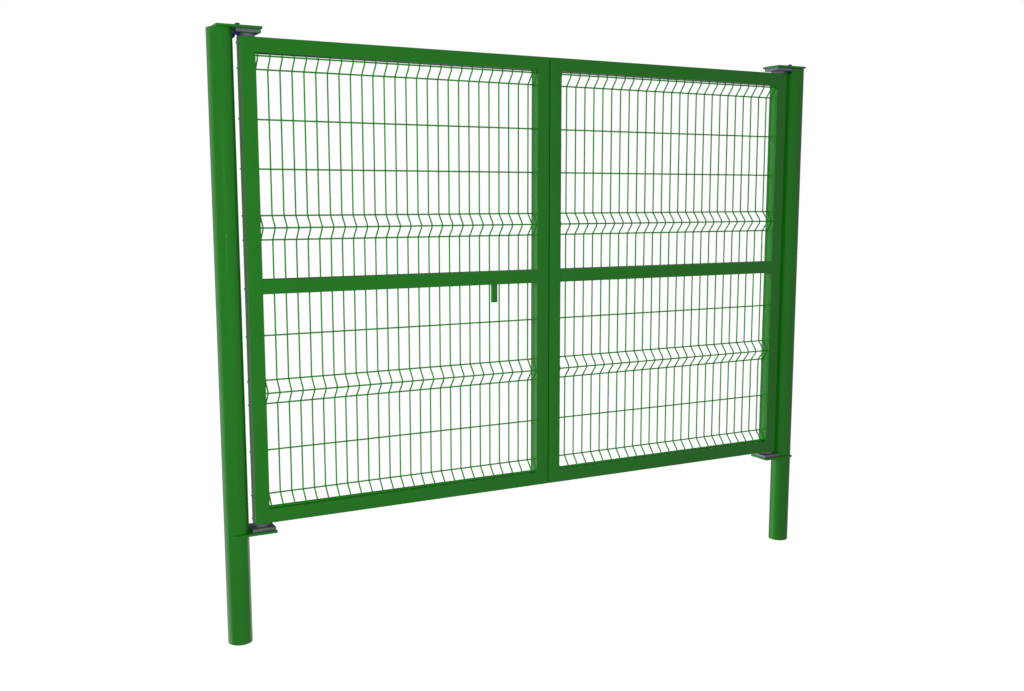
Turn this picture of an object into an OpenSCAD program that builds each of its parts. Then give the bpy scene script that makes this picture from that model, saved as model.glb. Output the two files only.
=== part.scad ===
// Double swing gate: two framed leaves filled with folded wire mesh, hung between two round posts.
// Each leaf turns on a pin and collar at its top and bottom, held in steel blocks on plates that are
// welded to the posts. A sliding bolt on the back of the left leaf shoots into a keeper on the right.
// X runs along the gate, Y from its front to its back, Z up. The origin is the centre of the left
// post's foot.

/* [Gate] */
// Width of one leaf
leaf_w = 1416; // [900:2:2000]
// Height of one leaf
leaf_h = 2000; // [1400:10:2400]
// Gap between the two leaves
meeting_gap = 6; // [6:1:20]
// Gap between a post and the leaf beside it
hinge_gap = 24; // [22:1:60]
// Height of the leaves' bottom edge above the foot of the posts
leaf_lift = 507; // [120:1:900]

/* [Posts] */
// Outside diameter of a post
post_d = 101.6; // [76:0.1:140]
// Wall of a post
post_wall = 3.6; // [2:0.1:8]

/* [Leaf frame] */
// Face of a frame tube, as seen from the front
tube_w = 60; // [40:1:80]
// Depth of a frame tube, front to back
tube_d = 60; // [50:1:80]
// Wall of a frame tube
tube_wall = 3; // [2:0.1:5]

/* [Mesh] */
// Thickness of a wire, made square with the weight of a round one of 5
wire = 4.4; // [3:0.1:6]
// Distance from one upright wire to the next
wire_pitch = 50.6; // [40:0.1:80]
// Usual distance from one level wire to the next, fitted to the leaf's height
row_pitch = 200; // [150:1:250]
// How much nearer the last level wire lies above each fold
row_step = 10; // [0:1:20]
// Height of a fold from its upper to its lower wire
fold_h = 100; // [80:1:140]
// How far a fold's middle wire stands forward of the panel
fold_depth = 37; // [20:1:40]
// Height of the straight stretch at the crest of a fold
crest_h = 16; // [8:1:30]
// Distance from the top rail down to the highest crest wire
crest_drop = 10; // [5:1:30]
// How far the level wires reach past the hinge side of the leaf
wire_overhang = 2; // [0:0.5:4]
// Least distance from the top and bottom edges of a leaf to the panel's outer wires
panel_margin = 10; // [8:1:20]
// Height that the panel's cut ends reach past its outer wires
wire_barb = 5; // [3:1:8]

/* [Hinges] */
// Thickness of the plates on the posts
plate_t = 10; // [6:1:16]
// How far a plate reaches past its post at the front and at the back
plate_lip = 10.2; // [5:0.1:30]
// How far a plate reaches past the centre of its post, away from the gate
plate_tail = 25; // [10:1:45]
// How far a plate reaches past the bearing block, towards the gate
plate_margin = 3; // [0:1:20]
// Side of a square bearing block
block_w = 100; // [80:1:120]
// Gap between a post and the blocks beside it
block_gap = 4; // [1:0.5:15]
// Thickness of a bearing block
block_t = 15; // [12:1:25]
// Diameter of the collar between a block and the leaf
collar_d = 70; // [40:1:80]
// Height of the space between a leaf and a block
collar_space = 13; // [11:0.5:25]
// Running gap above the upper collar and below the lower one
collar_gap = 0.3; // [0.2:0.1:1]
// Diameter of a hinge pin
pin_d = 24; // [16:1:36]
// Length of a hinge pin inside its block
pin_l = 12; // [8:1:14]
// Radial clearance of a hinge pin in its block
pin_clearance = 0.05; // [0.02:0.01:0.1]

/* [Hinge bolts] */
// Diameter of a bolt's shank
bolt_d = 10; // [8:1:14]
// Radial clearance of a bolt in its hole
bolt_clearance = 0.5; // [0.3:0.1:1]
// Width across the flats of a bolt's head and its nut
bolt_flats = 17; // [13:1:19]
// Height of a bolt's head
bolt_head_h = 8; // [5:0.5:10]
// Height of a nut
nut_h = 10; // [6:0.5:12]
// Length of thread showing past a nut
bolt_tail = 5; // [2:1:16]
// Distance from a block's post-side edge to the middle of its bolts
bolt_edge_x = 8.5; // [8:0.5:20]
// Distance from a block's front and back edges to the middle of its bolts
bolt_edge_y = 11; // [8:0.5:30]

/* [Sliding bolt] */
// Diameter of the sliding bar
bar_d = 30; // [20:1:36]
// Distance from the leaf's meeting edge to the middle of the handle, with the bar drawn back
handle_inset = 241; // [200:1:400]
// Distance from the middle of the bar down to the end of its handle
handle_drop = 120; // [80:1:200]
// Centre-line radius of the bend from the bar into its handle
bend_r = 24; // [19:1:40]
// Distance from the leaf's meeting edge to the tip of the bar, drawn back
tip_inset = 8; // [6:1:20]
// Clear distance from the mesh to the bar
bar_standoff = 7; // [6:1:20]
// Radial clearance of the bar in its guides
guide_clearance = 0.1; // [0.05:0.01:0.1]
// Radial clearance of the bar in the keeper
keeper_clearance = 4; // [2:0.5:5]
// Wall of the guide and keeper rings
ring_wall = 6; // [4:0.5:10]
// Length of the guide and keeper rings along the bar
ring_l = 24; // [16:1:30]
// Least distance between a ring's foot and a level wire of the panel
foot_clearance = 1; // [0.5:0.5:3]

/* [Hidden] */
$fn = 96;

green = "forestgreen";
steel = "slategray";
blue = "mediumblue";

eps = 1;                                   // how far a cut runs past the face it leaves by
post_r = post_d / 2;
leaf_x = post_r + hinge_gap;               // hinge edge of the left leaf
pivot_x = leaf_x + tube_w / 2;             // hinge axis of the left leaf
gate_w = 2 * leaf_x + 2 * leaf_w + meeting_gap;   // between the posts' axes
front_y = -tube_d / 2;
back_y = tube_d / 2;
leaf_top = leaf_lift + leaf_h;
mid_rail_z = leaf_lift + leaf_h / 2;       // middle of the mid rail
opening_w = leaf_w - 2 * tube_w;

// hinge levels
top_block_z = leaf_top + collar_space;
top_plate_z = top_block_z + block_t;
bottom_block_z = leaf_lift - collar_space - block_t;
bottom_plate_z = bottom_block_z - plate_t;
collar_h = collar_space - collar_gap;
block_x = post_r + block_gap;              // post side of the left blocks
plate_l = plate_tail + block_x + block_w + plate_margin;
plate_w = post_d + 2 * plate_lip;
bolt_x = block_x + bolt_edge_x;
bolt_y = block_w / 2 - bolt_edge_y;

// mesh panel: level wires lie on the back of the frame, upright wires behind them
level_y = back_y + wire / 2;
upright_y = level_y + wire * 0.9;          // a tenth of a wire sunk into the other at each weld
crest_y = upright_y - fold_depth;
crest_level_y = level_y - fold_depth;
half_fold = fold_h / 2;
rail_top = leaf_top - tube_w;              // underside of the top rail
rail_bottom = leaf_lift + tube_w;          // top of the bottom rail
// the lowest crest wire rests on the bottom rail, the highest hangs under the top rail
crest_low = rail_bottom + wire / 2;
crest_high = rail_top - crest_drop;
spaces = max(3, round((crest_high - crest_low - 3 * fold_h) / row_pitch));
pitch = (crest_high - crest_low - 3 * fold_h + 3 * row_step) / spaces;
bay_1 = ceil(spaces / 3);
bay_2 = ceil((spaces - bay_1) / 2);
bay_3 = spaces - bay_1 - bay_2;
function bay_h(n) = n * pitch - row_step;
crest_2 = crest_high - fold_h - bay_h(bay_1);
crest_3 = crest_2 - fold_h - bay_h(bay_2);
crests = [crest_high, crest_2, crest_3, crest_low];
bays = [bay_1, bay_2, bay_3];
// levels of the wires that lie in the panel's plane
plane_rows = [
    min(crest_high + half_fold, leaf_top - panel_margin),
    for (b = [0 : 2]) for (i = [0 : bays[b]])
        i < bays[b] ? crests[b] - half_fold - i * pitch : crests[b + 1] + half_fold,
    max(crest_low - half_fold, leaf_lift + panel_margin)
];
half_count = floor((opening_w / 2 - wire) / wire_pitch + 0.5);

// sliding bolt
bar_y = upright_y + wire / 2 + bar_standoff + bar_d / 2;
bar_z = mid_rail_z;
meet_x = leaf_x + leaf_w;                  // meeting edge of the left leaf
tip_x = meet_x - tip_inset;
handle_x = meet_x - handle_inset;
// each guide stands midway between two upright wires, the outer one on the lock stile
outer_guide_x = meet_x - leaf_w / 2 + half_count * wire_pitch;
inner_guide_x = outer_guide_x - wire_pitch;
keeper_x = gate_w - outer_guide_x;
// the rings' feet lie beyond the bar's middle from the level wire nearest to it, and clear of it
row_gap = min([for (z = plane_rows) abs(z - bar_z)]);
near_row = [for (z = plane_rows) if (abs(z - bar_z) == row_gap) z][0];
foot_low = max(0, wire / 2 + foot_clearance - row_gap);

// ---- pieces shared by both sides; each is drawn for the left and mirrored for the right ----

module on_side(side) {
    if (side == "left") children();
    else translate([gate_w, 0, 0]) mirror([1, 0, 0]) children();
}

module post() {
    color(green) difference() {
        cylinder(d = post_d, h = top_plate_z);
        translate([0, 0, -eps]) cylinder(d = post_d - 2 * post_wall, h = top_plate_z + 2 * eps);
    }
}

module bolt_holes(z, h) {
    for (y = [-bolt_y, bolt_y])
        translate([bolt_x, y, z - eps]) cylinder(r = bolt_d / 2 + bolt_clearance, h = h + 2 * eps);
}

module plate(z) {
    translate([-plate_tail, -plate_w / 2, z]) cube([plate_l, plate_w, plate_t]);
}

module top_plate() {
    color(green) difference() {
        plate(top_plate_z);
        bolt_holes(top_plate_z, plate_t);
    }
}

module bottom_plate() {
    color(green) difference() {
        plate(bottom_plate_z);
        translate([0, 0, bottom_plate_z - eps]) cylinder(d = post_d, h = plate_t + 2 * eps);
    }
}

module block(z) {
    translate([block_x, -block_w / 2, z]) cube([block_w, block_w, block_t]);
}

module pin_bore(z) {
    translate([pivot_x, 0, z - eps]) cylinder(r = pin_d / 2 + pin_clearance, h = block_t + 2 * eps);
}

module top_block() {
    color(steel) difference() {
        block(top_block_z);
        pin_bore(top_block_z);
        bolt_holes(top_block_z, block_t);
    }
}

module bottom_block() {
    color(steel) difference() {
        block(bottom_block_z);
        pin_bore(bottom_block_z);
    }
}

module hex(h) {
    cylinder(d = bolt_flats / cos(30), h = h, $fn = 6);
}

module hinge_bolt(y) {
    shank = plate_t + block_t + nut_h + bolt_tail;
    color(blue) translate([bolt_x, y, top_plate_z + plate_t]) {
        hex(bolt_head_h);
        translate([0, 0, -shank]) cylinder(d = bolt_d, h = shank);
    }
}

module hinge_nut(y) {
    color(blue) translate([bolt_x, y, top_block_z - nut_h]) difference() {
        hex(nut_h);
        translate([0, 0, -eps]) cylinder(d = bolt_d, h = nut_h + 2 * eps);
    }
}

// a frame tube of length l along X, its outer face at z = 0 and its mitred ends rising at 45 degrees
module mitred_tube(l) {
    difference() {
        translate([0, front_y, 0]) cube([l, tube_d, tube_w]);
        translate([-eps, front_y + tube_wall, tube_wall])
            cube([l + 2 * eps, tube_d - 2 * tube_wall, tube_w - 2 * tube_wall]);
        mitre_cut();
        translate([l, 0, 0]) mirror([1, 0, 0]) mitre_cut();
    }
}

module mitre_cut() {
    translate([0, back_y + eps, 0]) rotate([90, 0, 0])
        linear_extrude(height = tube_d + 2 * eps)
            polygon([[-eps, -eps], [tube_w + eps, tube_w + eps], [-eps, tube_w + eps]]);
}

module bottom_rail() {
    color(green) translate([leaf_x, 0, leaf_lift]) mitred_tube(leaf_w);
}

module top_rail() {
    color(green) translate([leaf_x, 0, leaf_top]) mirror([0, 0, 1]) mitred_tube(leaf_w);
}

module hinge_stile() {
    color(green) translate([leaf_x, 0, leaf_top]) rotate([0, 90, 0]) mitred_tube(leaf_h);
}

module lock_stile() {
    color(green) translate([meet_x, 0, leaf_lift]) rotate([0, -90, 0]) mitred_tube(leaf_h);
}

module mid_rail() {
    color(green) translate([leaf_x + tube_w, front_y, mid_rail_z - tube_w / 2]) difference() {
        cube([opening_w, tube_d, tube_w]);
        translate([-eps, tube_wall, tube_wall])
            cube([opening_w + 2 * eps, tube_d - 2 * tube_wall, tube_w - 2 * tube_wall]);
    }
}

// collar and pin in one piece, its collar's foot at z = 0 and its pin upwards
module pivot() {
    cylinder(d = collar_d, h = collar_h);
    cylinder(d = pin_d, h = collar_space + pin_l);
}

module top_pivot() {
    color(steel) translate([pivot_x, 0, leaf_top]) pivot();
}

module bottom_pivot() {
    color(steel) translate([pivot_x, 0, leaf_lift]) mirror([0, 0, 1]) pivot();
}

// centre line of an upright wire down through a whole fold with its crest at level c
function fold_points(c) = [
    [upright_y, c + half_fold], [crest_y, c + crest_h / 2],
    [crest_y, c - crest_h / 2], [upright_y, c - half_fold]
];

function unit(v) = v / norm(v);
function side_of(a, b) = let (d = unit(b - a)) [d[1], -d[0]];
// sideways step at point i of a line that keeps a band along it one thick round its corners
function mitre(line, i) = let (
    n0 = side_of(line[max(i, 1) - 1], line[max(i, 1)]),
    n1 = side_of(line[min(i, len(line) - 2)], line[min(i, len(line) - 2) + 1]),
    m = unit(n0 + n1)
) m / (m * n0);

// an upright wire at x, whose centre line is given in Y and Z
module upright(x, line) {
    translate([x - wire / 2, 0, 0]) rotate([90, 0, 90]) linear_extrude(height = wire)
        polygon([
            for (i = [0 : len(line) - 1]) line[i] + mitre(line, i) * wire / 2,
            for (i = [len(line) - 1 : -1 : 0]) line[i] - mitre(line, i) * wire / 2
        ]);
}

module level_wire(x0, x1, y, z) {
    translate([x0, y - wire / 2, z - wire / 2]) cube([x1 - x0, wire, wire]);
}

opening_x0 = leaf_x + tube_w;
opening_x1 = meet_x - tube_w;
panel_x0 = leaf_x - wire_overhang;
panel_x1 = meet_x - wire_overhang;
upright_xs = [for (i = [-half_count : half_count - 1]) leaf_x + leaf_w / 2 + (i + 0.5) * wire_pitch];
// the panel's edge wires stand on the backs of the stiles
edge_xs = [upright_xs[0] - wire_pitch, upright_xs[len(upright_xs) - 1] + wire_pitch];

// part of the panel: its folded uprights, its level wires, those at the crests, and the straight
// lengths of its edge wires, which stop short of the folds
module panel(line, rows, crest_rows, flats) {
    for (x = upright_xs) upright(x, line);
    for (z = rows) level_wire(panel_x0, panel_x1, level_y, z);
    for (z = crest_rows) level_wire(opening_x0, opening_x1, crest_level_y, z);
    for (x = edge_xs) for (f = flats) upright(x, [[upright_y, f[0]], [upright_y, f[1]]]);
}

// the strip of panel on the back of the top or bottom rail
module edge_strip(high, low, row) {
    for (x = concat(upright_xs, edge_xs)) upright(x, [[upright_y, high], [upright_y, low]]);
    level_wire(panel_x0, panel_x1, level_y, row);
}

top_row = plane_rows[0];
bottom_row = plane_rows[len(plane_rows) - 1];

module upper_mesh() {
    color(green) {
        panel(
            concat(
                [[crest_y, rail_top], [crest_y, crest_high - crest_h / 2],
                 [upright_y, crest_high - half_fold]],
                fold_points(crest_2),
                [[upright_y, mid_rail_z]]
            ),
            [for (z = plane_rows) if (z > mid_rail_z && z < top_row) z],
            [crest_high, crest_2],
            [[crest_high - half_fold + wire_barb, crest_2 + half_fold - wire_barb],
             [crest_2 - half_fold + wire_barb, mid_rail_z]]
        );
        edge_strip(top_row + wire_barb, rail_top + wire_barb, top_row);
    }
}

module lower_mesh() {
    color(green) {
        panel(
            concat(
                [[upright_y, mid_rail_z]],
                fold_points(crest_3),
                [[upright_y, crest_low + half_fold], [crest_y, crest_low + crest_h / 2],
                 [crest_y, rail_bottom]]
            ),
            [for (z = plane_rows) if (z < mid_rail_z && z > bottom_row) z],
            [crest_3, crest_low],
            [[mid_rail_z, crest_3 + half_fold - wire_barb],
             [crest_3 - half_fold + wire_barb, crest_low + half_fold - wire_barb]]
        );
        edge_strip(rail_bottom - wire_barb, bottom_row - wire_barb, bottom_row);
    }
}

// a ring for the bar on a foot, which is welded to the back of the frame
module ring(x, clearance) {
    hole_r = bar_d / 2 + clearance;
    ring_r = hole_r + ring_wall;
    color(green) translate([x - ring_l / 2, bar_y, bar_z]) difference() {
        union() {
            rotate([0, 90, 0]) cylinder(r = ring_r, h = ring_l);
            mirror([0, 0, near_row > bar_z ? 1 : 0]) translate([0, back_y - bar_y, foot_low])
                cube([ring_l, bar_y - back_y, ring_r - foot_low]);
        }
        translate([-eps, 0, 0]) rotate([0, 90, 0]) cylinder(r = hole_r, h = ring_l + 2 * eps);
    }
}

// a round bar drawn back on the left leaf, its rear end bent down into a handle
module sliding_bolt() {
    color(green) {
        translate([handle_x + bend_r, bar_y, bar_z]) rotate([0, 90, 0])
            cylinder(d = bar_d, h = tip_x - handle_x - bend_r);
        translate([handle_x + bend_r, bar_y, bar_z - bend_r]) rotate([90, 0, 0]) rotate([0, 0, 90])
            rotate_extrude(angle = 90) translate([bend_r, 0]) circle(d = bar_d);
        translate([handle_x, bar_y, bar_z - handle_drop])
            cylinder(d = bar_d, h = handle_drop - bend_r);
    }
}

on_side("left") post();  // left_post
on_side("right") post();  // right_post
on_side("left") top_plate();  // left_top_plate
on_side("left") bottom_plate();  // left_bottom_plate
on_side("right") top_plate();  // right_top_plate
on_side("right") bottom_plate();  // right_bottom_plate
on_side("left") top_block();  // left_top_block
on_side("left") bottom_block();  // left_bottom_block
on_side("right") top_block();  // right_top_block
on_side("right") bottom_block();  // right_bottom_block
on_side("left") hinge_bolt(-bolt_y);  // left_front_bolt
on_side("left") hinge_bolt(bolt_y);  // left_back_bolt
on_side("right") hinge_bolt(-bolt_y);  // right_front_bolt
on_side("right") hinge_bolt(bolt_y);  // right_back_bolt
on_side("left") hinge_nut(-bolt_y);  // left_front_nut
on_side("left") hinge_nut(bolt_y);  // left_back_nut
on_side("right") hinge_nut(-bolt_y);  // right_front_nut
on_side("right") hinge_nut(bolt_y);  // right_back_nut
on_side("left") hinge_stile();  // left_hinge_stile
on_side("left") lock_stile();  // left_lock_stile
on_side("left") top_rail();  // left_top_rail
on_side("left") mid_rail();  // left_mid_rail
on_side("left") bottom_rail();  // left_bottom_rail
on_side("left") upper_mesh();  // left_upper_mesh
on_side("left") lower_mesh();  // left_lower_mesh
on_side("left") top_pivot();  // left_top_pivot
on_side("left") bottom_pivot();  // left_bottom_pivot
ring(outer_guide_x, guide_clearance);  // left_outer_guide
ring(inner_guide_x, guide_clearance);  // left_inner_guide
on_side("right") hinge_stile();  // right_hinge_stile
on_side("right") lock_stile();  // right_lock_stile
on_side("right") top_rail();  // right_top_rail
on_side("right") mid_rail();  // right_mid_rail
on_side("right") bottom_rail();  // right_bottom_rail
on_side("right") upper_mesh();  // right_upper_mesh
on_side("right") lower_mesh();  // right_lower_mesh
on_side("right") top_pivot();  // right_top_pivot
on_side("right") bottom_pivot();  // right_bottom_pivot
ring(keeper_x, keeper_clearance);  // right_keeper
sliding_bolt();
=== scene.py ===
from math import atan2, ceil, cos, hypot, pi, radians, sin, tan

import bmesh
import bpy
from mathutils import Matrix, Vector


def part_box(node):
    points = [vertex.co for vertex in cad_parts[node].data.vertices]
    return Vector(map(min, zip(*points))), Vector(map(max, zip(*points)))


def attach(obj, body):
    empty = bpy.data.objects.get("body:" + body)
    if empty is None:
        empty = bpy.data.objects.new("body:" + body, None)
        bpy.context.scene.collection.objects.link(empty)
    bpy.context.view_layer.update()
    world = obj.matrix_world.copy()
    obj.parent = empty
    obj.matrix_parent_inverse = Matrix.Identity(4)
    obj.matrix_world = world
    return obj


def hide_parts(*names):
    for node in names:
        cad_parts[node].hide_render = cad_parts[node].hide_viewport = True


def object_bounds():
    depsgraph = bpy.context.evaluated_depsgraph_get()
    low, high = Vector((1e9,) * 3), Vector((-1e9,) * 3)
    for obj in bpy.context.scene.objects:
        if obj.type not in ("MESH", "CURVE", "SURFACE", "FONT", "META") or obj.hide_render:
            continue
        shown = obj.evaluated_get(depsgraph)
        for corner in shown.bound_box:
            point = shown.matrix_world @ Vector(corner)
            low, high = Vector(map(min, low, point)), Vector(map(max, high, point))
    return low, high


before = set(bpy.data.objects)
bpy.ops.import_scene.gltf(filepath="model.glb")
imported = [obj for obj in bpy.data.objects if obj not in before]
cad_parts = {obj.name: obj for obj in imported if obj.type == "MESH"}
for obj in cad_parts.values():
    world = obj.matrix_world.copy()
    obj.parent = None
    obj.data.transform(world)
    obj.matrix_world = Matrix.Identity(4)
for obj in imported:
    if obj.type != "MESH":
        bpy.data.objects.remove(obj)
cad_low, cad_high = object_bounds()

# ---- sizes in metres; every place is worked out from the frame's boxes ----

TUBE_ROUND = 0.0010         # rounding of the frame tubes' long edges
POST_WALL = 0.0036
POST_CHAMFER = 0.0006
PLATE_ROUND = 0.0010
BLOCK_ROUND = 0.0015
RING_ROUND = 0.0012

WIRE = 0.0067               # round wire of the panel, drawn thicker than the 5 mm it stands for
FRAME_WIRE = 0.0044         # the square bars that the frame has in its place
WELD_LAP = 0.9              # uprights lie this many bars behind the level wires, welded in
WIRE_PITCH = 0.0506
ROW_PITCH = 0.200
ROW_STEP = 0.010
BAYS = 3                    # stretches between the four folds
FOLD_H = 0.100
FOLD_DEPTH = 0.037
CREST_H = 0.016
CREST_DROP = 0.010          # from the top rail down to the highest crest
BEND_R = 0.012              # centre line of the wire round a bend
BARB = 0.005
RAIL_EDGE = 0.010           # least distance from a leaf's edge to the outer wires

BOLT_FLATS = 0.017
HEX_FACE = 0.95             # round face of a head or nut, as a share of the size over its flats
HEX_CHAMFER = radians(30)
BOLT_D = 0.010
THREAD_PITCH = 0.0015
THREAD_DEPTH = 0.0009
THREAD_RISE, THREAD_FALL, THREAD_FOOT = 0.40, 0.55, 0.95    # the ridge's corners, in pitches
THREAD_SINK = 0.0001        # the ridge's foot lies this deep in the core
THREAD_INTO_NUT = 0.001
TIP_CHAMFER = 0.0006
COLLAR_CHAMFER = 0.0012
COLLAR_PLAY = 0.0003        # between a collar's rim and its block
PIN_R = 0.012
BAR_BEND_R = 0.024
BAR_CHAMFER = 0.002

# ---- how finely round shapes are stepped, and what counts as an edge ----

TUBE_ROUND_STEPS = 4
BLOCK_ROUND_STEPS = 3
PLATE_ROUND_STEPS = 2
RING_ROUND_STEPS = 2
POST_STEPS = 128
COLLAR_STEPS = 96
NOTCH_STEPS = 64
HEX_STEPS = 48
BAR_STEPS = 48
BAR_BEND_STEPS = 16
CORE_STEPS = 24
THREAD_STEPS = 20
WIRE_BEND_STEPS = 6
WIRE_ROUND_STEPS = 2
MERGE = 0.00001             # points nearer than this are one
NOTCH_REACH = 0.0001        # points this near the post belong to the notch
STRAIGHT = radians(1)       # a smaller turn is no corner
SHARP = radians(50)         # corners sharper than this get rounded
CREASE = radians(30)        # faces meeting at less than this are shaded as one
WIRE_CREASE = radians(50)


# ---- nodes ----

def feed(tree, socket, value):
    """Gives a socket a number, or links another socket to it."""
    if isinstance(value, (int, float)):
        socket.default_value = value
    else:
        tree.links.new(value, socket)


def add_math(tree, operation, *values):
    """A Math node on numbers or sockets."""
    node = tree.nodes.new("ShaderNodeMath")
    node.operation = operation
    for socket, value in zip(node.inputs, values):
        feed(tree, socket, value)
    return node.outputs["Value"]


# ---- materials ----

NOISE_LOW, NOISE_HIGH = 0.3, 0.7    # nearly all of a noise lies between these
TONE_NOISE = (2.3, 2.0)             # scale and detail
CLOUD_NOISE = (14.0, 3.0)
STAIN_NOISE = (30.0, 3.0)
PEEL_DETAIL = 1.0
LINE_DETAIL = 2.0
LINE_STRETCH = (0.04, 1, 1)         # draws the noise out into lines along X
RELIEF = 0.00001                    # height of the peel and of the lines


def add_noise(tree, position, scale, detail):
    """Noise round 0.5 on the given position."""
    noise = tree.nodes.new("ShaderNodeTexNoise")
    noise.inputs["Detail"].default_value = detail
    tree.links.new(position, noise.inputs["Vector"])
    feed(tree, noise.inputs["Scale"], scale)
    return noise.outputs["Fac"]


def add_range(tree, value, low, high):
    """Spreads noise over low to high, each a number or a socket."""
    node = tree.nodes.new("ShaderNodeMapRange")
    limits = zip(("Value", "From Min", "From Max", "To Min", "To Max"),
                 (value, NOISE_LOW, NOISE_HIGH, low, high))
    for label, limit in limits:
        feed(tree, node.inputs[label], limit)
    return node.outputs["Result"]


def new_texture(name, fine_scale):
    """The node group of a finish, with its input and output nodes."""
    group = bpy.data.node_groups.new(name, "ShaderNodeTree")
    for label, side, kind in (
        ("Position", "INPUT", "NodeSocketVector"),
        ("Colour", "INPUT", "NodeSocketColor"),
        ("Tone Drift", "INPUT", "NodeSocketFloat"),
        ("Roughness Low", "INPUT", "NodeSocketFloat"),
        ("Roughness High", "INPUT", "NodeSocketFloat"),
        (fine_scale, "INPUT", "NodeSocketFloat"),
        ("Colour", "OUTPUT", "NodeSocketColor"),
        ("Roughness", "OUTPUT", "NodeSocketFloat"),
        ("Height", "OUTPUT", "NodeSocketFloat"),
    ):
        group.interface.new_socket(label, in_out=side, socket_type=kind)
    return group, group.nodes.new("NodeGroupInput"), group.nodes.new("NodeGroupOutput")


def fill_texture(group, given, made, tone_noise, gloss_noise, height):
    """Puts out the colour with its drift of tone, the clouded or lined gloss, and the height."""
    links = group.links
    swing = add_range(group, tone_noise, -1.0, 1.0)
    tone = add_math(group, "MULTIPLY_ADD", swing, given.outputs["Tone Drift"], 1.0)
    tint = group.nodes.new("ShaderNodeVectorMath")
    tint.operation = "SCALE"
    links.new(given.outputs["Colour"], tint.inputs["Vector"])
    links.new(tone, tint.inputs["Scale"])
    links.new(tint.outputs["Vector"], made.inputs["Colour"])
    low, high = given.outputs["Roughness Low"], given.outputs["Roughness High"]
    links.new(add_range(group, gloss_noise, low, high), made.inputs["Roughness"])
    links.new(height, made.inputs["Height"])
    return group


def coat_group():
    """Baked coat: slow drift of tone, clouded gloss and the fine orange peel of sprayed powder."""
    group, given, made = new_texture("coat_texture", "Peel Scale")
    position = given.outputs["Position"]
    drift = add_noise(group, position, *TONE_NOISE)
    clouds = add_noise(group, position, *CLOUD_NOISE)
    peel = add_noise(group, position, given.outputs["Peel Scale"], PEEL_DETAIL)
    return fill_texture(group, given, made, drift, clouds, peel)


def grain_group():
    """Machined metal: fine lines along X, with slow stains of tone."""
    group, given, made = new_texture("metal_grain", "Line Scale")
    position = given.outputs["Position"]
    stretch = group.nodes.new("ShaderNodeVectorMath")
    stretch.operation = "MULTIPLY"
    stretch.inputs[1].default_value = LINE_STRETCH
    group.links.new(position, stretch.inputs[0])
    stretched = stretch.outputs["Vector"]
    lines = add_noise(group, stretched, given.outputs["Line Scale"], LINE_DETAIL)
    stains = add_noise(group, position, *STAIN_NOISE)
    return fill_texture(group, given, made, stains, lines, lines)


def new_material(name, group, values, metallic=0.0, specular=0.5):
    """A Principled material fed by a texture group."""
    material = bpy.data.materials.new(name)
    material.use_nodes = True
    tree = material.node_tree
    tree.nodes.clear()
    place = tree.nodes.new("ShaderNodeTexCoord")
    texture = tree.nodes.new("ShaderNodeGroup")
    texture.node_tree = group
    tree.links.new(place.outputs["Object"], texture.inputs["Position"])
    for label, value in values.items():
        texture.inputs[label].default_value = value
    surface = tree.nodes.new("ShaderNodeBsdfPrincipled")
    surface.inputs["Metallic"].default_value = metallic
    surface.inputs["Specular IOR Level"].default_value = specular
    tree.links.new(texture.outputs["Colour"], surface.inputs["Base Color"])
    tree.links.new(texture.outputs["Roughness"], surface.inputs["Roughness"])
    bump = tree.nodes.new("ShaderNodeBump")
    bump.inputs["Distance"].default_value = RELIEF
    bump.inputs["Strength"].default_value = 1.0
    tree.links.new(texture.outputs["Height"], bump.inputs["Height"])
    tree.links.new(bump.outputs["Normal"], surface.inputs["Normal"])
    end = tree.nodes.new("ShaderNodeOutputMaterial")
    tree.links.new(surface.outputs["BSDF"], end.inputs["Surface"])
    return material


COAT = coat_group()
GRAIN = grain_group()

# the finish of each material slot
FINISHES = {
    "green_coat": new_material(
        "green_coat", COAT,
        {"Colour": (0.0065, 0.160, 0.0045, 1), "Tone Drift": 0.03,
         "Roughness Low": 0.14, "Roughness High": 0.20, "Peel Scale": 450.0},
    ),
    "mesh_coat": new_material(
        "mesh_coat", COAT,
        {"Colour": (0.0080, 0.240, 0.0060, 1), "Tone Drift": 0.04,
         "Roughness Low": 0.25, "Roughness High": 0.33, "Peel Scale": 700.0},
        specular=0.15,
    ),
    "bearing_steel": new_material(
        "bearing_steel", GRAIN,
        {"Colour": (0.215, 0.24, 0.262, 1), "Tone Drift": 0.06,
         "Roughness Low": 0.28, "Roughness High": 0.42, "Line Scale": 1500.0},
        metallic=0.75,
    ),
    "blue_fastener": new_material(
        "blue_zinc", GRAIN,
        {"Colour": (0.012, 0.012, 0.15, 1), "Tone Drift": 0.10,
         "Roughness Low": 0.22, "Roughness High": 0.34, "Line Scale": 2500.0},
        metallic=0.5,
    ),
}


# ---- making pieces ----

GATE_MIDDLE = (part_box("left_post")[0].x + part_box("right_post")[1].x) / 2


def finish_piece(name, bm, body, slot, nodes, right=False, crease=CREASE):
    """Makes bm a piece on a body; right mirrors what was drawn for the left side."""
    bmesh.ops.remove_doubles(bm, verts=bm.verts, dist=MERGE)
    if right:
        flip = Matrix.Translation((2 * GATE_MIDDLE, 0, 0)) @ Matrix.Diagonal((-1, 1, 1, 1))
        bmesh.ops.transform(bm, matrix=flip, verts=bm.verts)
    bmesh.ops.recalc_face_normals(bm, faces=bm.faces)
    for face in bm.faces:
        face.smooth = True
    for edge in bm.edges:
        edge.smooth = len(edge.link_faces) == 2 and edge.calc_face_angle() < crease
    mesh = bpy.data.meshes.new(name)
    bm.to_mesh(mesh)
    bm.free()
    mesh.materials.append(FINISHES[slot])
    piece = bpy.data.objects.new(name, mesh)
    bpy.context.scene.collection.objects.link(piece)
    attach(piece, body)
    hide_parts(*nodes)


def verts_of(geometry):
    return [g for g in geometry if isinstance(g, bmesh.types.BMVert)]


def edges_of(geometry):
    return [g for g in geometry if isinstance(g, bmesh.types.BMEdge)]


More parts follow.
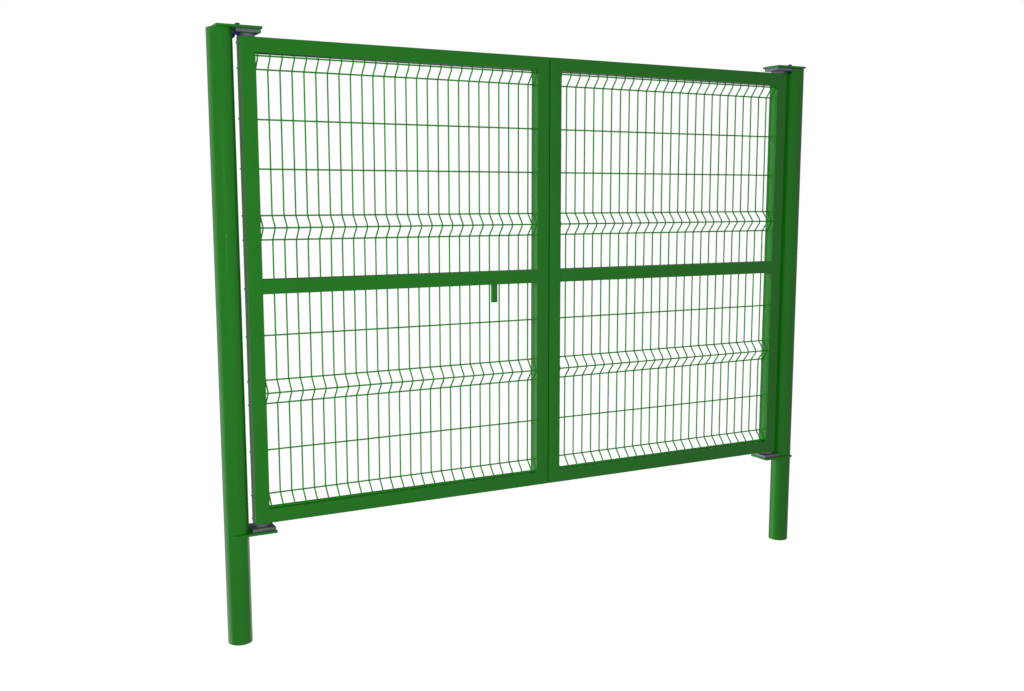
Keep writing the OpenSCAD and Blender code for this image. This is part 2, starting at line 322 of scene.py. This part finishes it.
def add_box(bm, low, high):
    """A block between two corners; returns its vertices."""
    made = bmesh.ops.create_cube(bm, size=1)["verts"]
    bmesh.ops.scale(bm, vec=high - low, verts=made)
    bmesh.ops.translate(bm, vec=(low + high) / 2, verts=made)
    return made


def round_edges(bm, edges, radius, segments):
    bmesh.ops.bevel(
        bm, geom=list(edges), offset=radius, offset_type="OFFSET", segments=segments,
        profile=0.5, affect="EDGES", material=-1,
    )


def add_lathe(bm, centre, outline, steps):
    """Turns an outline of (radius, z) points round an upright axis at centre."""
    verts = [bm.verts.new((centre.x + r, centre.y, z)) for r, z in outline]
    edges = [bm.edges.new(pair) for pair in zip(verts, verts[1:])]
    bmesh.ops.spin(
        bm, geom=verts + edges, cent=centre, axis=(0, 0, 1), angle=2 * pi, steps=steps,
        use_merge=True, use_duplicate=False,
    )


def left_and_right(make):
    """Draws a piece for both sides; each is drawn in the left side's place."""
    for side in ("left", "right"):
        make(side, side == "right")


# ---- posts, plates and bearing blocks ----

def make_post(side, right):
    low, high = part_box("left_post")
    radius = (high.x - low.x) / 2
    bore = radius - POST_WALL
    c = POST_CHAMFER
    outline = [
        (bore, low.z + c), (bore + c, low.z), (radius - c, low.z), (radius, low.z + c),
        (radius, high.z - c), (radius - c, high.z), (bore + c, high.z), (bore, high.z - c),
        (bore, low.z + c),
    ]
    bm = bmesh.new()
    add_lathe(bm, Vector(((low.x + high.x) / 2, 0, 0)), outline, POST_STEPS)
    finish_piece(f"{side}_post_tube", bm, "posts", "green_coat", [f"{side}_post"], right)


def make_top_plate(side, right):
    bm = bmesh.new()
    add_box(bm, *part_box("left_top_plate"))
    round_edges(bm, bm.edges, PLATE_ROUND, PLATE_ROUND_STEPS)
    finish_piece(
        f"{side}_top_plate_steel", bm, "posts", "green_coat", [f"{side}_top_plate"], right
    )


def make_bottom_plate(side, right):
    """The lower plate is notched to fit round the post."""
    low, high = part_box("left_bottom_plate")
    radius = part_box("left_post")[1].x
    opening = pi - atan2((radius ** 2 - low.x ** 2) ** 0.5, -low.x)
    arc = [opening - 2 * opening * i / NOTCH_STEPS for i in range(NOTCH_STEPS + 1)]
    outline = [(radius * cos(a), radius * sin(a)) for a in arc]
    outline += [(low.x, low.y), (high.x, low.y), (high.x, high.y), (low.x, high.y)]
    bm = bmesh.new()
    face = bm.faces.new([bm.verts.new((x, y, low.z)) for x, y in outline])
    grown = bmesh.ops.extrude_face_region(bm, geom=[face])["geom"]
    bmesh.ops.translate(bm, vec=(0, 0, high.z - low.z), verts=verts_of(grown))
    bmesh.ops.recalc_face_normals(bm, faces=bm.faces)
    outer = [
        e for e in bm.edges
        if e.calc_face_angle(0) > SHARP
        and all(hypot(v.co.x, v.co.y) > radius + NOTCH_REACH for v in e.verts)
    ]
    round_edges(bm, outer, PLATE_ROUND, PLATE_ROUND_STEPS)
    finish_piece(
        f"{side}_bottom_plate_steel", bm, "posts", "green_coat", [f"{side}_bottom_plate"], right
    )


def make_blocks(side, right):
    for level in ("top", "bottom"):
        bm = bmesh.new()
        add_box(bm, *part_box(f"left_{level}_block"))
        round_edges(bm, bm.edges, BLOCK_ROUND, BLOCK_ROUND_STEPS)
        finish_piece(
            f"{side}_{level}_bearing", bm, "posts", "bearing_steel",
            [f"{side}_{level}_block"], right,
        )


# ---- hinge bolts and nuts ----

def add_hex(bm, centre, low, high, chamfer_low):
    """A turned blank with its upper rim chamfered, or both, cut down to six flats."""
    flat_r = BOLT_FLATS / 2
    corner_r = flat_r / cos(radians(30))
    face_r = HEX_FACE * flat_r
    drop = (corner_r - face_r) * tan(HEX_CHAMFER)
    lower_rim = [(face_r, low), (corner_r, low + drop)] if chamfer_low else [(corner_r, low)]
    outline = [(0, low), *lower_rim, (corner_r, high - drop), (face_r, high), (0, high)]
    add_lathe(bm, centre, outline, HEX_STEPS)
    bmesh.ops.remove_doubles(bm, verts=bm.verts, dist=MERGE)
    for i in range(6):
        out = Vector((cos(i * pi / 3), sin(i * pi / 3), 0))
        cut = bmesh.ops.bisect_plane(
            bm, geom=list(bm.verts) + list(bm.edges) + list(bm.faces),
            plane_co=centre + out * flat_r, plane_no=out, clear_outer=True,
        )["geom_cut"]
        bmesh.ops.contextual_create(bm, geom=edges_of(cut))


def add_thread(bm, centre, low, high):
    """A threaded shank: its core, its chamfered tip and the ridge that winds up it."""
    crest = BOLT_D / 2
    root = crest - THREAD_DEPTH
    start = low + TIP_CHAMFER
    outline = [(0, low), (root - TIP_CHAMFER, low), (root, start), (root, high), (0, high)]
    add_lathe(bm, centre, outline, CORE_STEPS)
    foot = root - THREAD_SINK
    ridge = [(foot, 0), (crest, THREAD_RISE), (crest, THREAD_FALL), (foot, THREAD_FOOT)]
    verts = [
        bm.verts.new((centre.x + r, centre.y, start + THREAD_PITCH * share)) for r, share in ridge
    ]
    edges = [bm.edges.new(pair) for pair in zip(verts, verts[1:] + verts[:1])]
    bm.faces.new(verts)
    turns = int((high - low - 2 * TIP_CHAMFER) / THREAD_PITCH)
    made = bmesh.ops.spin(
        bm, geom=verts + edges, cent=centre, axis=(0, 0, 1), angle=2 * pi * turns,
        dvec=(0, 0, THREAD_PITCH / THREAD_STEPS), steps=THREAD_STEPS * turns,
        use_merge=False, use_duplicate=False,
    )["geom_last"]
    bmesh.ops.contextual_create(bm, geom=edges_of(made))


def make_fasteners(side, right):
    plate_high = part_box("left_top_plate")[1]
    for place in ("front", "back"):
        low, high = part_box(f"left_{place}_bolt")
        nut_low, nut_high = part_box(f"left_{place}_nut")
        centre = (low + high) / 2
        centre.z = 0
        bolt = bmesh.new()
        add_hex(bolt, centre, plate_high.z, high.z, chamfer_low=False)
        add_thread(bolt, centre, low.z, nut_low.z + THREAD_INTO_NUT)
        nut = bmesh.new()
        add_hex(nut, centre, nut_low.z, nut_high.z, chamfer_low=True)
        for kind, bm in (("bolt", bolt), ("nut", nut)):
            finish_piece(
                f"{side}_{place}_hinge_{kind}", bm, "posts", "blue_fastener",
                [f"{side}_{place}_{kind}"], right,
            )


# ---- leaves ----

def make_tube(side, right, part):
    """A frame tube. The outer four are mitred, so each inner face is shorter at both ends."""
    low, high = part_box(f"left_{part}")
    leaf_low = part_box("left_bottom_rail")[0]
    leaf_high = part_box("left_top_rail")[1]
    middle = (leaf_low + leaf_high) / 2
    along, across = (2, 0) if part.endswith("stile") else (0, 2)
    width = high[across] - low[across]
    outer = low[across] if low[across] < middle[across] else high[across]
    bm = bmesh.new()
    for v in add_box(bm, low, high):
        if part != "mid_rail" and abs(v.co[across] - outer) > width / 2:
            v.co[along] += width if v.co[along] < middle[along] else -width
    long_edges = [
        e for e in bm.edges if abs(e.verts[0].co[along] - e.verts[1].co[along]) > width * 2
    ]
    round_edges(bm, long_edges, TUBE_ROUND, TUBE_ROUND_STEPS)
    finish_piece(
        f"{side}_{part}_tube", bm, f"{side}_leaf", "green_coat", [f"{side}_{part}"], right
    )


def make_leaf_frame(side, right):
    for part in ("hinge_stile", "lock_stile", "top_rail", "bottom_rail", "mid_rail"):
        make_tube(side, right, part)


def make_pivots(side, right):
    """Each collar with its pin, turned in one piece."""
    c = COLLAR_CHAMFER
    for level in ("top", "bottom"):
        low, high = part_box(f"left_{level}_pivot")
        block_low, block_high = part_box(f"left_{level}_block")
        rail_low, rail_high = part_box(f"left_{level}_rail")
        if level == "top":
            up, foot, block, end = 1, rail_high.z, block_low.z, high.z
        else:
            up, foot, block, end = -1, rail_low.z, block_high.z, low.z
        radius = (high.x - low.x) / 2
        rim = block - up * COLLAR_PLAY
        outline = [
            (0, foot), (radius - c, foot), (radius, foot + up * c), (radius, rim - up * c),
            (radius - c, rim), (PIN_R, rim), (PIN_R, end - up * c), (PIN_R - c, end), (0, end),
        ]
        bm = bmesh.new()
        add_lathe(bm, Vector(((low.x + high.x) / 2, 0, 0)), outline, COLLAR_STEPS)
        finish_piece(
            f"{side}_{level}_collar", bm, f"{side}_leaf", "bearing_steel",
            [f"{side}_{level}_pivot"], right,
        )


# ---- mesh panels ----

def rounded(points):
    """The points of a line in Y and Z with each corner turned into an arc."""
    line = [Vector(points[0])]
    for before, corner, after in zip(points, points[1:], points[2:]):
        corner = Vector(corner)
        into = (corner - Vector(before)).normalized()
        out = (Vector(after) - corner).normalized()
        turn = into.angle_signed(out)
        if abs(turn) < STRAIGHT:
            continue
        cut = BEND_R * tan(abs(turn) / 2)
        start = corner - into * cut
        hub = start + Vector((-into.y, into.x)) * (BEND_R if turn < 0 else -BEND_R)
        spoke = start - hub
        for i in range(WIRE_BEND_STEPS + 1):
            a = -turn * i / WIRE_BEND_STEPS
            line.append(hub + Vector((spoke.x * cos(a) - spoke.y * sin(a),
                                      spoke.x * sin(a) + spoke.y * cos(a))))
    line.append(Vector(points[-1]))
    return line


def panel_rows(rail_top, rail_bottom, leaf_low, leaf_high):
    """Levels of the fold crests from the top down, and of the wires in the panel's plane."""
    half = FOLD_H / 2
    crest_low = rail_bottom + FRAME_WIRE / 2
    crest_high = rail_top - CREST_DROP
    clear = crest_high - crest_low - BAYS * FOLD_H
    spaces = round(clear / ROW_PITCH)
    pitch = (clear + BAYS * ROW_STEP) / spaces
    crests = [crest_high]
    rows = [min(crest_high + half, leaf_high - RAIL_EDGE)]
    for bays_left in range(BAYS, 0, -1):
        bay = ceil(spaces / bays_left)
        spaces -= bay
        crest = crests[-1]
        rows += [crest - half - i * pitch for i in range(bay)]
        crests.append(crest - FOLD_H - bay * pitch + ROW_STEP)
        rows.append(crests[-1] + half)
    rows.append(max(crest_low - half, leaf_low + RAIL_EDGE))
    return crests, rows


def panel_wires():
    """The routes of all the wires of the left leaf's panel."""
    stile_low, stile_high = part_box("left_hinge_stile")
    lock_low, lock_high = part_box("left_lock_stile")
    panel_low, panel_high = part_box("left_lower_mesh")
    rail_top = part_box("left_top_rail")[0].z
    rail_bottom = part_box("left_bottom_rail")[1].z
    crests, rows = panel_rows(rail_top, rail_bottom, stile_low.z, stile_high.z)
    half, flat = FOLD_H / 2, CREST_H / 2
    level_y = stile_high.y + FRAME_WIRE / 2
    upright_y = level_y + FRAME_WIRE * WELD_LAP
    crest_y = upright_y - FOLD_DEPTH
    middle = (stile_low.x + lock_high.x) / 2
    count = int(((lock_low.x - stile_high.x) / 2 - FRAME_WIRE) / WIRE_PITCH + 0.5)
    uprights = [middle + (i + 0.5) * WIRE_PITCH for i in range(-count, count)]
    edges = [uprights[0] - WIRE_PITCH, uprights[-1] + WIRE_PITCH]

    line = [(crest_y, rail_top), (crest_y, crests[0] - flat), (upright_y, crests[0] - half)]
    for c in crests[1:-1]:
        line += [
            (upright_y, c + half), (crest_y, c + flat), (crest_y, c - flat), (upright_y, c - half)
        ]
    line += [
        (upright_y, crests[-1] + half), (crest_y, crests[-1] + flat), (crest_y, rail_bottom)
    ]
    bent = rounded(line)
    wires = [[(x, p.x, p.y) for p in bent] for x in uprights]
    wires += [[(panel_low.x, level_y, z), (panel_high.x, level_y, z)] for z in rows]
    front_y = level_y - FOLD_DEPTH
    wires += [[(stile_high.x, front_y, z), (lock_low.x, front_y, z)] for z in crests]
    # straight lengths on the backs of the frame tubes, cut off where the folds stand forward
    lengths = [
        (x, upper - half + BARB, lower + half - BARB)
        for x in edges for upper, lower in zip(crests, crests[1:])
    ]
    strips = [(rows[0] + BARB, rail_top + BARB), (rail_bottom - BARB, rows[-1] - BARB)]
    lengths += [(x, high, low) for x in uprights + edges for high, low in strips]
    wires += [[(x, upright_y, high), (x, upright_y, low)] for x, high, low in lengths]
    return wires


def make_panel(side, right):
    """One welded panel behind the frame, its folds standing forward into the openings."""
    curve = bpy.data.curves.new("wires", "CURVE")
    curve.dimensions = "3D"
    curve.bevel_depth = WIRE / 2
    curve.bevel_resolution = WIRE_ROUND_STEPS
    curve.use_fill_caps = True
    for wire in panel_wires():
        spline = curve.splines.new("POLY")
        spline.points.add(len(wire) - 1)
        for point, place in zip(spline.points, wire):
            point.co = (*place, 1)
    drawn = bpy.data.objects.new("wires", curve)
    bpy.context.scene.collection.objects.link(drawn)
    ready = drawn.evaluated_get(bpy.context.evaluated_depsgraph_get())
    solid = bpy.data.meshes.new_from_object(ready)
    bpy.data.objects.remove(drawn)
    bm = bmesh.new()
    bm.from_mesh(solid)
    bpy.data.meshes.remove(solid)
    finish_piece(
        f"{side}_mesh_panel", bm, f"{side}_leaf", "mesh_coat",
        [f"{side}_upper_mesh", f"{side}_lower_mesh"], right, WIRE_CREASE,
    )


# ---- sliding bolt ----

def make_ring(node, body):
    """A ring on its foot: the frame's solid with its edges broken."""
    bm = bmesh.new()
    bm.from_mesh(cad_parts[node].data)
    bmesh.ops.remove_doubles(bm, verts=bm.verts, dist=MERGE)
    bmesh.ops.dissolve_limit(
        bm, angle_limit=STRAIGHT, use_dissolve_boundaries=False, verts=bm.verts, edges=bm.edges
    )
    corners = [e for e in bm.edges if e.calc_face_angle(0) > SHARP]
    round_edges(bm, corners, RING_ROUND, RING_ROUND_STEPS)
    finish_piece(f"{node}_ring", bm, body, "green_coat", [node])


def grow(bm, ring, move, size=1.0):
    """Extrudes an open end by move and scales it about its middle; returns the new end."""
    verts = verts_of(bmesh.ops.extrude_edge_only(bm, edges=ring)["geom"])
    bmesh.ops.translate(bm, vec=move, verts=verts)
    hub = sum((v.co for v in verts), Vector()) / len(verts)
    bmesh.ops.scale(bm, vec=(size,) * 3, space=Matrix.Translation(-hub), verts=verts)
    inside = set(verts)
    return [e for e in bm.edges if e.verts[0] in inside and e.verts[1] in inside]


def make_bar():
    """A round bar whose rear end is bent down into a handle, with both ends chamfered."""
    low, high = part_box("sliding_bolt")
    radius = (high.y - low.y) / 2
    bar_y = (high.y + low.y) / 2
    handle_x = low.x + radius
    c = BAR_CHAMFER
    bend_z = high.z - radius - BAR_BEND_R
    hub = Vector((handle_x + BAR_BEND_R, bar_y, bend_z))
    bm = bmesh.new()
    end = bmesh.ops.create_circle(bm, cap_ends=True, segments=BAR_STEPS, radius=radius - c)["verts"]
    bmesh.ops.translate(bm, vec=(handle_x, bar_y, low.z), verts=end)
    ring = grow(bm, list(bm.edges), (0, 0, c), radius / (radius - c))
    ring = grow(bm, ring, (0, 0, bend_z - low.z - c))
    turned = bmesh.ops.spin(
        bm, geom=ring, cent=hub, axis=(0, 1, 0), angle=pi / 2, steps=BAR_BEND_STEPS,
        use_merge=False, use_duplicate=False,
    )["geom_last"]
    ring = grow(bm, edges_of(turned), (high.x - hub.x - c, 0, 0))
    ring = grow(bm, ring, (c, 0, 0), (radius - c) / radius)
    bmesh.ops.contextual_create(bm, geom=ring)
    finish_piece("sliding_bolt_bar", bm, "bolt_bar", "green_coat", ["sliding_bolt"])


for make in (
    make_post, make_top_plate, make_bottom_plate, make_blocks, make_fasteners,
    make_leaf_frame, make_pivots, make_panel,
):
    left_and_right(make)
make_ring("left_outer_guide", "left_leaf")
make_ring("left_inner_guide", "left_leaf")
make_ring("right_keeper", "right_leaf")
make_bar()


# ---- floor ----

FLOOR_SIZE = 60
FLOOR_DROP = 0.0005         # the floor lies this far under the posts' feet
FLOOR_TONE = 0.12
FLOOR_GLOW = 0.95


def make_floor():
    """A plain pale floor, so near white to the camera that its shadow is only a trace."""
    bm = bmesh.new()
    bmesh.ops.create_grid(bm, x_segments=1, y_segments=1, size=FLOOR_SIZE)
    mesh = bpy.data.meshes.new("floor")
    bm.to_mesh(mesh)
    bm.free()
    floor = bpy.data.objects.new("floor", mesh)
    floor.location = (GATE_MIDDLE, 0, cad_low.z - FLOOR_DROP)
    floor.visible_glossy = False
    bpy.context.scene.collection.objects.link(floor)
    material = bpy.data.materials.new("floor")
    material.use_nodes = True
    tree = material.node_tree
    tree.nodes.clear()
    path = tree.nodes.new("ShaderNodeLightPath")
    ground = tree.nodes.new("ShaderNodeBsdfDiffuse")
    ground.inputs["Color"].default_value = (FLOOR_TONE, FLOOR_TONE, FLOOR_TONE, 1)
    glow = tree.nodes.new("ShaderNodeEmission")
    strength = add_math(tree, "MULTIPLY", path.outputs["Is Camera Ray"], FLOOR_GLOW)
    tree.links.new(strength, glow.inputs["Strength"])
    both = tree.nodes.new("ShaderNodeAddShader")
    tree.links.new(ground.outputs["BSDF"], both.inputs[0])
    tree.links.new(glow.outputs["Emission"], both.inputs[1])
    end = tree.nodes.new("ShaderNodeOutputMaterial")
    tree.links.new(both.outputs["Shader"], end.inputs["Surface"])
    mesh.materials.append(material)


# ---- studio, as directions (x to the right, y to the back, z up) and strengths ----

WHITE = 1.0                         # what the camera sees behind the gate
BOUNCE_LEVEL = 0.08                 # what lights the coats from all round
GLOSS_FRONT = 0.38                  # what the gloss shows in front of the gate,
GLOSS_BACK_LEFT = 0.13              # behind it to the left,
GLOSS_BACK_RIGHT = 0.025            # behind it to the right,
GLOSS_SIDE = 0.70                   # and in the soft light on either side
FRONT_EDGES = (-0.3, 0.6)           # front to back, over y
LEFT_EDGES = (-0.12, 0.06)          # left to right, over x
SIDE_TURN = radians(38)             # the side lights stand this far behind the gate's line
SIDE_EDGES = (0.76, 0.98)           # their rims, as the cosine of the turn from their middle
SIDE_FADE = -1.3                    # they are stronger low down
RIGHT_CUT = 0.9                     # share that the right one loses round eye level
RIGHT_CUT_SIDES = (-0.1, 0.1)
RIGHT_CUT_MIDDLE = -0.025
RIGHT_CUT_EDGES = (0.145, 0.275)


def add_blend(tree, value, edges, low, high):
    """A smooth change from low to high while value passes between the edges."""
    node = tree.nodes.new("ShaderNodeMapRange")
    node.interpolation_type = "SMOOTHSTEP"
    limits = zip(("Value", "From Min", "From Max", "To Min", "To Max"), (value, *edges, low, high))
    for label, limit in limits:
        feed(tree, node.inputs[label], limit)
    return node.outputs["Result"]


def side_light(tree, x, y, z):
    """The soft lights on either side, low and behind the gate's line, the right one cut."""
    reach = add_math(
        tree, "SQRT", add_math(tree, "MULTIPLY_ADD", x, x, add_math(tree, "MULTIPLY", y, y))
    )
    toward = add_math(
        tree, "MULTIPLY_ADD", add_math(tree, "ABSOLUTE", x), cos(SIDE_TURN),
        add_math(tree, "MULTIPLY", y, sin(SIDE_TURN)),
    )
    off_level = add_math(tree, "ABSOLUTE", add_math(tree, "SUBTRACT", z, RIGHT_CUT_MIDDLE))
    cut = add_math(
        tree, "MULTIPLY", add_blend(tree, x, RIGHT_CUT_SIDES, 0, RIGHT_CUT),
        add_blend(tree, off_level, RIGHT_CUT_EDGES, 1, 0),
    )
    strength = add_math(
        tree, "MULTIPLY", add_math(tree, "MULTIPLY_ADD", z, SIDE_FADE, 1.0),
        add_math(tree, "SUBTRACT", 1.0, cut),
    )
    shape = add_blend(tree, add_math(tree, "DIVIDE", toward, reach), SIDE_EDGES, 0, 1)
    return add_math(tree, "MULTIPLY", strength, shape)


def make_world():
    """White all round to the camera; to the gloss, a dim studio with a light on either side."""
    world = bpy.data.worlds.new("studio")
    world.use_nodes = True
    bpy.context.scene.world = world
    tree = world.node_tree
    tree.nodes.clear()
    place = tree.nodes.new("ShaderNodeTexCoord")
    split = tree.nodes.new("ShaderNodeSeparateXYZ")
    tree.links.new(place.outputs["Generated"], split.inputs["Vector"])
    x, y, z = (split.outputs[axis] for axis in "XYZ")
    dim = add_blend(tree, x, LEFT_EDGES, GLOSS_BACK_LEFT, GLOSS_BACK_RIGHT)
    front = add_math(
        tree, "MULTIPLY", add_blend(tree, y, FRONT_EDGES, 1, 0),
        add_math(tree, "SUBTRACT", GLOSS_FRONT, dim),
    )
    gloss = add_math(
        tree, "MULTIPLY_ADD", side_light(tree, x, y, z), GLOSS_SIDE,
        add_math(tree, "ADD", dim, front),
    )
    path = tree.nodes.new("ShaderNodeLightPath")
    seen = add_math(
        tree, "MAXIMUM", path.outputs["Is Camera Ray"], path.outputs["Is Transmission Ray"]
    )
    level = BOUNCE_LEVEL
    for mask, value in ((path.outputs["Is Glossy Ray"], gloss), (seen, WHITE)):
        mix = tree.nodes.new("ShaderNodeMix")
        mix.data_type = "FLOAT"
        for label, given in (("Factor", mask), ("A", level), ("B", value)):
            feed(tree, mix.inputs[label], given)
        level = mix.outputs["Result"]
    back = tree.nodes.new("ShaderNodeBackground")
    back.inputs["Color"].default_value = (1, 1, 1, 1)
    tree.links.new(level, back.inputs["Strength"])
    end = tree.nodes.new("ShaderNodeOutputWorld")
    tree.links.new(back.outputs["Background"], end.inputs["Surface"])


# ---- lamps ----

LAMP_PLACE = (-1.4, -5.4, 1.85)     # beside the camera
LAMP_TARGET = (GATE_MIDDLE, 0, 1.5)
LAMP_SIZE = 1.2
LAMP_POWER = 325
SUN_RISE = radians(12)
SUN_SPREAD = radians(26)
LEFT_SUN_POWER = 3.4
RIGHT_SUN_TURN = radians(150)
RIGHT_SUN_POWER = 2.0


def add_light(name, kind, power, place, target):
    """A lamp that lights the gate, but isn't seen itself by the camera or in the gloss."""
    light = bpy.data.lights.new(name, kind)
    light.energy = power
    lamp = bpy.data.objects.new(name, light)
    lamp.location = place
    lamp.rotation_euler = (Vector(target) - Vector(place)).to_track_quat("-Z", "Y").to_euler()
    lamp.visible_glossy = False
    lamp.visible_camera = False
    bpy.context.scene.collection.objects.link(lamp)
    return light


def add_sun(name, turn, power):
    """Even soft light from a low sun, turned from the left round by the back."""
    place = (-cos(turn) * cos(SUN_RISE), sin(turn) * cos(SUN_RISE), sin(SUN_RISE))
    add_light(name, "SUN", power, place, (0, 0, 0)).angle = SUN_SPREAD


make_floor()
make_world()
add_light("front", "AREA", LAMP_POWER, LAMP_PLACE, LAMP_TARGET).size = LAMP_SIZE
add_sun("left", SIDE_TURN, LEFT_SUN_POWER)
add_sun("right", RIGHT_SUN_TURN, RIGHT_SUN_POWER)


# ---- camera ----

CAMERA_PLACE = (-1.0585, -4.4223, 1.8735)
CAMERA_DIP = 0.136276               # radians that it looks down
CAMERA_TURN = 0.492088              # radians that it is turned to the right
LENS = 38.033086                    # millimetres, on a sensor 36 wide

scene = bpy.context.scene
scene.view_settings.view_transform = "Standard"

camera_data = bpy.data.cameras.new("camera")
camera_data.sensor_width = 36
camera_data.lens = LENS
camera = bpy.data.objects.new("camera", camera_data)
camera.location = CAMERA_PLACE
camera.rotation_euler = (pi / 2 - CAMERA_DIP, 0, -CAMERA_TURN)
scene.collection.objects.link(camera)
scene.camera = camera
